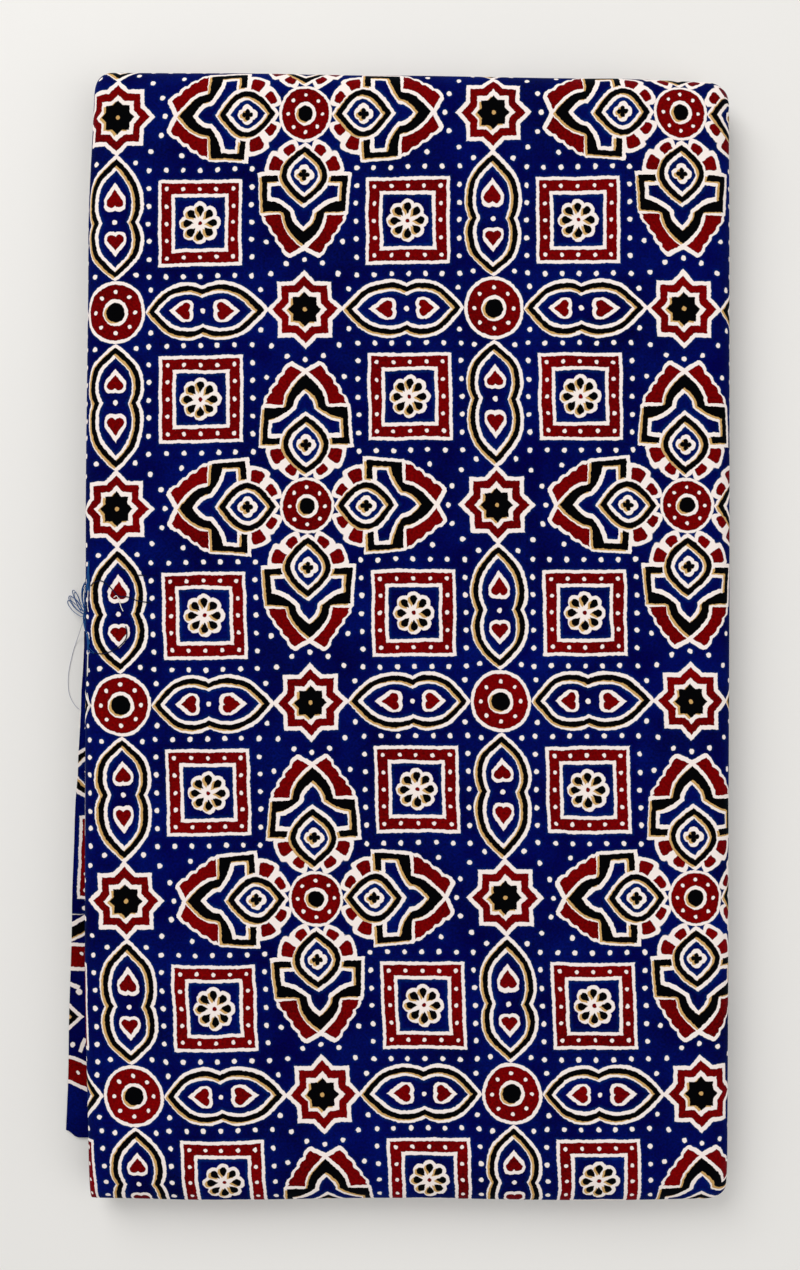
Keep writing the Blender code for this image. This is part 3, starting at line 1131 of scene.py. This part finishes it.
@dataclass
class Plies:
    """The four plies of the strip over some of its sections, joined at their long folds."""

    bundle: Bundle
    sections: list[Section]
    detail: Detail

    def __post_init__(self) -> None:
        """Joins the sections into one grid, with its normals and its distance along the cloth."""
        parts = [self.sections[0].rows] + [s.rows[1:] for s in self.sections[1:]]
        self.middle = np.concatenate(parts)
        down = np.gradient(self.middle, axis=0)
        over = np.gradient(self.middle, axis=1)
        normal = np.cross(down, over)
        self.normal = normal / np.maximum(np.linalg.norm(normal, axis=-1, keepdims=True), 1e-12)
        self.over = over / np.maximum(np.linalg.norm(over, axis=-1, keepdims=True), 1e-12)
        centre = self.middle[:, self.middle.shape[1] // 2]
        steps = np.linalg.norm(np.diff(centre, axis=0), axis=1)
        self.along = -np.concatenate([[0.0], np.cumsum(steps)])

    def begin(self, along: float) -> None:
        """Sets how far along the cloth the first row lies, in metres."""
        self.along = self.along - self.along[0] + along

    def along_at(self, y: float) -> float:
        """How far along the cloth the top of the bundle lies at this y."""
        centre = self.middle[:, self.middle.shape[1] // 2]
        upper = centre[:, 2] > 0.8 * centre[:, 2].max()
        return float(np.interp(y, centre[upper, 1][::-1], self.along[upper][::-1]))

    @property
    def start(self) -> float:
        """How far along the cloth the first row lies."""
        return float(self.along[0])

    @property
    def end(self) -> float:
        """How far along the cloth the last row lies."""
        return float(self.along[-1])

    def turn(self, run: Run, steps: int) -> np.ndarray:
        """A long fold, as a half turn round an edge of the strip, without its first and last column.

        Args:
            run: The ply that it leaves.
            steps: How many steps it is drawn with.

        Returns:
            The points by row and step.
        """
        angles = np.linspace(0.0, math.pi, steps + 1)[1:-1][None, :, None]
        column = -1 if run.way > 0 else 0
        edge = self.middle[:, column][:, None]
        up = self.normal[:, column][:, None]
        out = self.over[:, column][:, None] * run.way
        lift = run.turn_middle - run.turn_up * run.turn_radius * np.cos(angles)
        return edge + (up * lift + out * run.turn_radius * np.sin(angles)) * self.bundle.ply

    def web(self, first: int, last: int, lead: bool = False, trail: bool = False) -> Web:
        """The cloth from one ply to another, with the turns between them.

        Args:
            first: The number of the first ply.
            last: The number of the last one.
            lead: Whether the turn before the first ply belongs to it.
            trail: Whether the turn after the last ply does.

        Returns:
            The grid.
        """
        shares = self.bundle.columns(self.detail)
        span, ply = self.bundle.strip.span, self.bundle.ply
        # The third ply is the one on top of the bundle, and its middle is zero across the cloth
        begins = [0.0]
        for run in RUNS[:-1]:
            begins.append(begins[-1] + span + math.pi * run.turn_radius * ply)
        zero = begins[2] + self.bundle.strip.middle_far
        points, across = [], []
        for number in range(first - lead, last + 1):
            run = RUNS[number]
            column = -1 if run.way > 0 else 0
            if number >= first:
                flat = self.middle + self.normal * (run.offset * ply)
                points.append(flat if run.way > 0 else flat[:, ::-1])
                far = shares if run.way > 0 else 1.0 - shares[::-1]
                across.append(begins[number] - zero + far * span)
            if number < last or trail:
                steps = max(4, round(8 * run.turn_radius))
                first_row = points[-1][:, -1:] if points else None
                turn = self.turn(run, steps)
                if first_row is None:
                    first_row = (self.middle + self.normal * (run.offset * ply))[:, column][:, None]
                    turn = np.concatenate([first_row, turn], axis=1)
                    far = np.linspace(0.0, 1.0, steps + 1)[:-1]
                else:
                    far = np.linspace(0.0, 1.0, steps + 1)[1:-1]
                if number == last:
                    following = (self.middle + self.normal * (RUNS[number + 1].offset * ply))[:, column]
                    turn = np.concatenate([turn, following[:, None]], axis=1)
                    far = np.append(far, 1.0)
                points.append(turn)
                across.append(begins[number] - zero + span + far * math.pi * run.turn_radius * ply)
        return Web(np.concatenate(points, axis=1), np.concatenate(across), self.along)


def baked_places(webs: Sequence[Web]) -> list[np.ndarray]:
    """Each web's points side by side on a square map, for the baked print.

    Args:
        webs: The grids.

    Returns:
        The places of each grid's points, by row and column.
    """
    widths = [float(np.ptp(web.across)) for web in webs]
    room = 1.0 - 0.01 * (len(webs) + 1)
    places, left = [], 0.01
    for web, width in zip(webs, widths):
        share = room * width / sum(widths)
        over = left + (web.across - web.across.min()) / width * share
        up = 0.01 + 0.98 * (web.along - web.along.min()) / float(np.ptp(web.along))
        places.append(np.stack(np.broadcast_arrays(over[None, :], up[:, None]), axis=-1).reshape(-1, 2))
        left += share + 0.01
    return places


def web_mesh(name: str, webs: Sequence[Web]) -> bpy.types.Mesh:
    """A mesh of quads over some grids of cloth, with a UV map in metres on the cloth.

    Args:
        name: The mesh's name.
        webs: The grids. The columns run to the right as the rows run away, seen from outside.

    Returns:
        The mesh.
    """
    points, quads, places = [], [], []
    count = 0
    for web in webs:
        rows, columns = web.points.shape[:2]
        index = count + np.arange(rows * columns).reshape(rows, columns)
        corners = (index[1:, :-1], index[1:, 1:], index[:-1, 1:], index[:-1, :-1])
        quads.append(np.stack(corners, axis=-1).reshape(-1, 4))
        points.append(web.points.reshape(-1, 3))
        grid = np.broadcast_arrays(web.across[None, :], web.along[:, None])
        places.append(np.stack(grid, axis=-1).reshape(-1, 2))
        count += rows * columns
    mesh = bpy.data.meshes.new(name)
    mesh.from_pydata(np.concatenate(points).tolist(), [], np.concatenate(quads).tolist())
    layer = mesh.uv_layers.new(name="cloth")
    corners = np.empty(len(mesh.loops), dtype=np.int64)
    mesh.loops.foreach_get("vertex_index", corners)
    layer.uv.foreach_set("vector", np.concatenate(places)[corners].astype(np.float32).ravel())
    baked = mesh.uv_layers.new(name="OFBake")
    baked.uv.foreach_set("vector", np.concatenate(baked_places(webs))[corners].astype(np.float32).ravel())
    mesh.shade_smooth()
    return mesh


class Yarn(Enum):
    """The loose threads' colours, and the grey of a strand that is painted shadow: it lies on the floor
    where the lifted loops cast their shade.
    """

    INDIGO = "1B4C86"
    NAVY = "07102E"
    UNDYED = "E9E4DC"
    PAINTED_SHADOW_GREY = "B9BCC8"


class Knot(NamedTuple):
    """A point that a loose thread passes, in millimetres, and how high above what lies there."""

    across: float
    along: float
    lift: float


class Thread(NamedTuple):
    """A loose thread: its yarn, how thick it is, how many lie together, and its way."""

    yarn: Yarn
    thick: float
    count: int
    knots: tuple[Knot, ...]


THREADS = (
    Thread(Yarn.INDIGO, 0.4, 9, (
        Knot(-136.8, 33.8, 0.2), Knot(-137.2, 28.4, 0.2), Knot(-137.4, 22.0, 0.2),
        Knot(-140.1, 16.7, 12.5), Knot(-140.6, 11.3, 12.0), Knot(-139.8, 4.9, 12.5),
        Knot(-137.2, -1.5, 0.2), Knot(-137.2, -6.9, 0.2),
    )),
    Thread(Yarn.INDIGO, 0.28, 3, (
        Knot(-137.2, 13.9, 0.3), Knot(-140.3, 12.2, 12.6), Knot(-142.7, 10.6, 9.0),
        Knot(-148.3, 13.7, 1.6), Knot(-151.0, 17.3, 0.3), Knot(-150.6, 19.0, 0.3),
        Knot(-148.3, 17.8, 1.4), Knot(-145.3, 15.3, 5.5), Knot(-142.6, 11.8, 9.5),
        Knot(-140.3, 11.0, 12.6),
    )),
    Thread(Yarn.INDIGO, 0.24, 2, (
        Knot(-140.3, 11.7, 12.4), Knot(-144.1, 12.4, 7.0), Knot(-147.5, 16.6, 1.4),
        Knot(-148.7, 19.7, 0.3), Knot(-148.0, 20.5, 0.3), Knot(-146.1, 18.4, 2.2),
        Knot(-143.8, 14.8, 7.0), Knot(-140.6, 12.2, 12.2),
    )),
    Thread(Yarn.INDIGO, 0.36, 5, (
        Knot(-140.8, 11.7, 12.4), Knot(-142.7, 17.6, 9.0), Knot(-142.3, 22.3, 9.5),
        Knot(-140.2, 24.5, 12.6), Knot(-137.5, 23.2, 0.3), Knot(-136.6, 20.3, 0.3),
    )),
    Thread(Yarn.INDIGO, 0.36, 5, (
        Knot(-140.3, 12.6, 12.4), Knot(-141.9, 8.8, 10.0), Knot(-141.1, 4.7, 11.0),
        Knot(-137.7, 0.6, 0.3), Knot(-136.3, -3.3, 0.2),
    )),
    Thread(Yarn.INDIGO, 0.24, 2, (
        Knot(-140.6, 11.3, 12.0), Knot(-140.3, 3.0, 11.5), Knot(-137.6, -5.1, 0.2),
        Knot(-135.9, -6.9, 0.2), Knot(-134.0, -7.4, 0.2),
    )),
    # This grey strand is painted shadow: it runs from the lifted loops down along the floor where their
    # shade falls.
    Thread(Yarn.PAINTED_SHADOW_GREY, 0.26, 1, (
        Knot(-140.7, 9.9, 11.5), Knot(-143.0, 5.9, 8.0), Knot(-146.3, 0.1, 2.2),
        Knot(-148.0, -3.5, 0.3), Knot(-149.6, -9.0, 0.3), Knot(-151.3, -17.8, 0.3),
        Knot(-151.0, -26.1, 0.3), Knot(-148.6, -31.4, 0.4), Knot(-146.1, -33.8, 0.9),
    )),
    Thread(Yarn.UNDYED, 0.5, 1, (
        Knot(-136.6, 0.1, 0.2), Knot(-137.1, -4.5, 0.2), Knot(-137.4, -10.6, 0.2),
        Knot(-137.6, -17.3, 0.2), Knot(-139.6, -22.1, 12.5),
    )),
    Thread(Yarn.UNDYED, 0.42, 1, (
        Knot(-137.7, -25.4, 0.2), Knot(-136.6, -30.5, 0.2), Knot(-137.6, -34.0, 0.2),
        Knot(-140.0, -37.3, 11.5),
    )),
    Thread(Yarn.UNDYED, 0.36, 1, (
        Knot(-137.0, 22.0, 0.2), Knot(-137.4, 17.5, 0.2), Knot(-137.5, 13.9, 0.2),
        Knot(-137.0, 11.2, 0.2),
    )),
    Thread(Yarn.NAVY, 0.5, 1, (
        Knot(-135.7, 22.8, 0.2), Knot(-134.1, 24.3, 0.2), Knot(-130.7, 25.0, 0.2),
        Knot(-126.7, 22.1, 0.2), Knot(-123.3, 18.3, 0.2), Knot(-118.7, 17.8, 0.2),
        Knot(-114.1, 16.0, 0.2), Knot(-108.4, 15.3, 0.2),
    )),
    Thread(Yarn.NAVY, 0.5, 1, (
        Knot(-123.3, 31.4, 0.2), Knot(-121.8, 30.2, 0.2), Knot(-119.9, 29.9, 0.2),
    )),
    Thread(Yarn.NAVY, 0.45, 1, (
        Knot(-114.1, 27.6, 0.2), Knot(-111.9, 27.5, 0.2), Knot(-110.1, 26.9, 0.2),
    )),
    Thread(Yarn.NAVY, 0.5, 1, (
        Knot(-134.0, -7.4, 0.2), Knot(-129.6, -7.6, 0.2), Knot(-125.0, -5.9, 0.2),
        Knot(-121.9, -3.7, 0.2), Knot(-119.8, -1.0, 0.2), Knot(-119.3, 1.7, 0.2),
        Knot(-119.8, 4.7, 0.2),
    )),
    Thread(Yarn.UNDYED, 0.4, 1, (
        Knot(-125.2, 17.6, 0.2), Knot(-123.8, 18.3, 0.2), Knot(-122.7, 16.0, 0.2),
        Knot(-122.0, 13.6, 0.2), Knot(-121.0, 11.4, 0.2),
    )),
)


@dataclass
class LooseThreadsAndPaintedShadow:
    """Frayed threads of the left fold's edge, which lie over the print and down on the surface, and a grey
    strand on the floor that is painted shadow of the lifted loops.
    """

    bundle: Bundle
    sides: int = 5
    steps: int = 7
    seed: int = 8

    def height(self, x: float, y: float) -> float:
        """How high the saree's top lies at this point of the frame, or 0 past its left side."""
        bundle = self.bundle
        strip = bundle.strip
        flat_x, flat_y = x - bundle.shift[0], y - bundle.shift[1]
        if flat_x < -strip.width / 2 + 0.0012:
            return 0.0
        drop = float(strip.drop_at(np.array(flat_x)))
        settled = strip.settle(np.array([[flat_x, flat_y, strip.top - drop]]))
        return float(settled[0, 2]) + 2 * bundle.ply

    def route(self, thread: Thread, stray: np.ndarray) -> np.ndarray:
        """A smooth way past the thread's knots, moved aside by a stray distance that fades at its ends."""
        knots = np.array([
            (k.across / 1000, k.along / 1000, self.height(k.across / 1000, k.along / 1000) + k.lift / 1000)
            for k in thread.knots
        ])
        fade = np.sin(np.linspace(0.15, math.pi - 0.15, len(knots)))[:, None]
        knots = knots + stray * fade
        padded = np.concatenate([2 * knots[:1] - knots[1:2], knots, 2 * knots[-1:] - knots[-2:-1]])
        share = np.linspace(0.0, 1.0, self.steps, endpoint=False)[:, None]
        parts = []
        for a, b, c, d in zip(padded, padded[1:], padded[2:], padded[3:]):
            parts.append(0.5 * (
                2 * b + (c - a) * share + (2 * a - 5 * b + 4 * c - d) * share**2
                + (3 * b - a - 3 * c + d) * share**3
            ))
        route = np.concatenate([*parts, knots[-1:]])
        route[:, 2] = np.maximum(route[:, 2], thread.thick / 2000 + 0.0001)
        return route

    def tube(self, route: np.ndarray, radius: float) -> np.ndarray:
        """Rings of points round a way."""
        way = np.gradient(route, axis=0)
        way /= np.linalg.norm(way, axis=1, keepdims=True)
        aside = np.cross(way, (0.0, 0.0, 1.0))
        aside /= np.maximum(np.linalg.norm(aside, axis=1, keepdims=True), 1e-9)
        up = np.cross(aside, way)
        angles = np.linspace(0.0, 2 * math.pi, self.sides, endpoint=False)
        ring = np.cos(angles)[None, :, None] * aside[:, None] + np.sin(angles)[None, :, None] * up[:, None]
        return route[:, None] + ring * radius

    def build(self) -> bpy.types.Object:
        """Builds the threads and the painted shadow strand as one piece.

        Returns:
            The piece.
        """
        chance = np.random.default_rng(self.seed)
        points, faces, paints = [], [], []
        count = 0
        for thread in THREADS:
            for number in range(thread.count):
                stray = chance.normal(0.0, 0.0006, 3) * (number > 0) * (1.0, 1.5, 0.5)
                rings = self.tube(self.route(thread, stray), thread.thick / 2000)
                index = count + np.arange(rings.shape[0] * self.sides).reshape(-1, self.sides)
                after = np.roll(index, -1, axis=1)
                quads = np.stack([index[:-1], after[:-1], after[1:], index[1:]], axis=-1).reshape(-1, 4)
                points.append(rings.reshape(-1, 3))
                faces.append(quads)
                paints.append(np.full(len(quads), list(Yarn).index(thread.yarn)))
                count += rings.shape[0] * self.sides
        mesh = bpy.data.meshes.new("loose_threads_and_painted_shadow")
        mesh.from_pydata(np.concatenate(points).tolist(), [], np.concatenate(faces).tolist())
        for yarn in Yarn:
            mesh.materials.append(self.material(yarn))
        mesh.polygons.foreach_set("material_index", np.concatenate(paints).astype(np.int32))
        mesh.shade_smooth()
        piece = bpy.data.objects.new("loose_threads_and_painted_shadow", mesh)
        bpy.context.scene.collection.objects.link(piece)
        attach(piece, "root")
        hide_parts(NODE)
        log.info("loose_threads_and_painted_shadow has %d faces", len(mesh.polygons))
        return piece

    def material(self, yarn: Yarn) -> bpy.types.Material:
        """The matt cotton of one yarn; the grey one is painted shadow."""
        material = bpy.data.materials.new(f"{yarn.name.lower()}_cotton_yarn")
        material.use_nodes = True
        shader = material.node_tree.nodes["Principled BSDF"]
        shader.inputs["Base Color"].default_value = linear(yarn.value)
        shader.inputs["Roughness"].default_value = 0.85
        shader.inputs["Specular IOR Level"].default_value = 0.1
        return material


@dataclass
class Saree:
    """The whole saree, as the meshes that show it."""

    bundle: Bundle
    cloth: PrintedMuslin
    pattern: BlockPrint
    border: EndBorder
    flap_square: tuple[float, float] = (21.2, 130.4)  # a framed flower, from the flap's side and end, in mm

    def sheet(self, name: str, webs: Sequence[Web], stretch: Stretch) -> bpy.types.Object:
        """Args:
            name: The piece's name.
            webs: Its grids.
            stretch: Which stretch of the print it shows.

        Returns:
            The piece.
        """
        mesh = web_mesh(name, webs)
        mesh.materials.append(self.cloth.material(self.pattern, stretch, self.border))
        piece = bpy.data.objects.new(name, mesh)
        bpy.context.scene.collection.objects.link(piece)
        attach(piece, "root")
        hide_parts(NODE)
        return piece

    def build(self) -> list[bpy.types.Object]:
        """Builds the saree's pieces: its outer ply, its bottom panel, all that lies between, and threads
        with a painted shadow strand.

        Returns:
            The pieces.
        """
        bundle = self.bundle
        fine, hidden, coarse = (bundle.sections(detail) for detail in (FINE, HIDDEN, COARSE))
        outer = Plies(bundle, fine[1:4], FINE)
        outer.begin(-outer.along_at(0.0))
        below = Plies(bundle, hidden[1:4], HIDDEN)
        below.begin(outer.start)
        lowest = Plies(bundle, coarse[:1], COARSE)
        lowest.begin(outer.start - lowest.end)
        inner = Plies(bundle, coarse[4:], COARSE)
        inner.begin(outer.end)
        field_print = Stretch(
            origin=(-45.36, 59.2), lean=0.0206, bow=-0.0000226, tilt=-0.0141, sag=0.0000316, fan=-0.0000349
        )
        flap = lowest.web(0, 3)
        corner = (float(flap.across.max()) * 1000, float(flap.along.max()) * 1000)
        square = self.pattern.square_at / self.pattern.repeat
        end_print = Stretch(
            origin=(
                corner[0] - self.flap_square[0] + square * self.pattern.across,
                corner[1] - self.flap_square[1] + square * self.pattern.down,
            ),
            corner=corner,
        )
        return [
            self.sheet("saree_top", [outer.web(2, 2, lead=True, trail=True)], field_print),
            self.sheet("saree_bottom", [flap], end_print),
            self.sheet("saree_folds", [inner.web(0, 3), below.web(0, 1), below.web(3, 3)], field_print),
            LooseThreadsAndPaintedShadow(bundle).build(),
        ]


@dataclass
class Studio:
    """A pale floor, soft light from all round, and the camera straight above the bundle."""

    middle: tuple[float, float]
    top: float
    distance: float = 0.62
    frame_height: float = 0.5704  # how much of the top panel's plane the frame holds, top to bottom
    sensor: float = 36.0

    def floor(self) -> None:
        """A plain pale floor."""
        bpy.ops.mesh.primitive_plane_add(size=6.0, location=(0.0, 0.0, 0.0))
        floor = bpy.context.object
        floor.name = "floor"
        material = bpy.data.materials.new("pale_floor")
        material.use_nodes = True
        shader = material.node_tree.nodes["Principled BSDF"]
        shader.inputs["Base Color"].default_value = linear("EDEBE7")
        shader.inputs["Roughness"].default_value = 0.7
        floor.data.materials.append(material)

    def light(self, name: str, at: tuple[float, float, float], size: float, watts: float) -> None:
        """A soft square light that looks at the bundle."""
        data = bpy.data.lights.new(name, "AREA")
        data.shape = "SQUARE"
        data.size = size
        data.energy = watts
        lamp = bpy.data.objects.new(name, data)
        lamp.location = at
        lamp.rotation_euler = (-Vector(at)).to_track_quat("-Z", "Y").to_euler()
        bpy.context.scene.collection.objects.link(lamp)

    def build(self) -> None:
        """Sets up the floor, the lights and the camera."""
        self.floor()
        self.light("window", (-1.0, 1.5, 1.6), 1.6, 34.0)
        self.light("fill", (1.4, -0.6, 1.6), 2.0, 11.0)
        world = bpy.data.worlds.new("studio")
        world.use_nodes = True
        background = world.node_tree.nodes["Background"]
        background.inputs["Color"].default_value = linear("FFFFFF")
        background.inputs["Strength"].default_value = 0.5
        scene = bpy.context.scene
        scene.world = world
        scene.view_settings.view_transform = "Standard"
        camera = bpy.data.cameras.new("camera")
        camera.sensor_width = self.sensor
        camera.lens = self.sensor * self.distance / self.frame_height
        eye = bpy.data.objects.new("camera", camera)
        eye.location = (*self.middle, self.top + self.distance)
        scene.collection.objects.link(eye)
        scene.camera = eye


CAMERA_AT = (-0.0034, 0.0011)  # the middle of the photo, from the middle of the top panel


def main() -> None:
    """Builds the saree and the studio round it."""
    logging.basicConfig(level=logging.INFO, format="%(name)s: %(message)s")
    bundle = Bundle(Strip())
    Saree(bundle, PrintedMuslin(), BlockPrint(), EndBorder()).build()
    middle = (bundle.shift[0] + CAMERA_AT[0], bundle.shift[1] + CAMERA_AT[1])
    Studio(middle, bundle.strip.top).build()


if __name__ == "__main__":
    main()
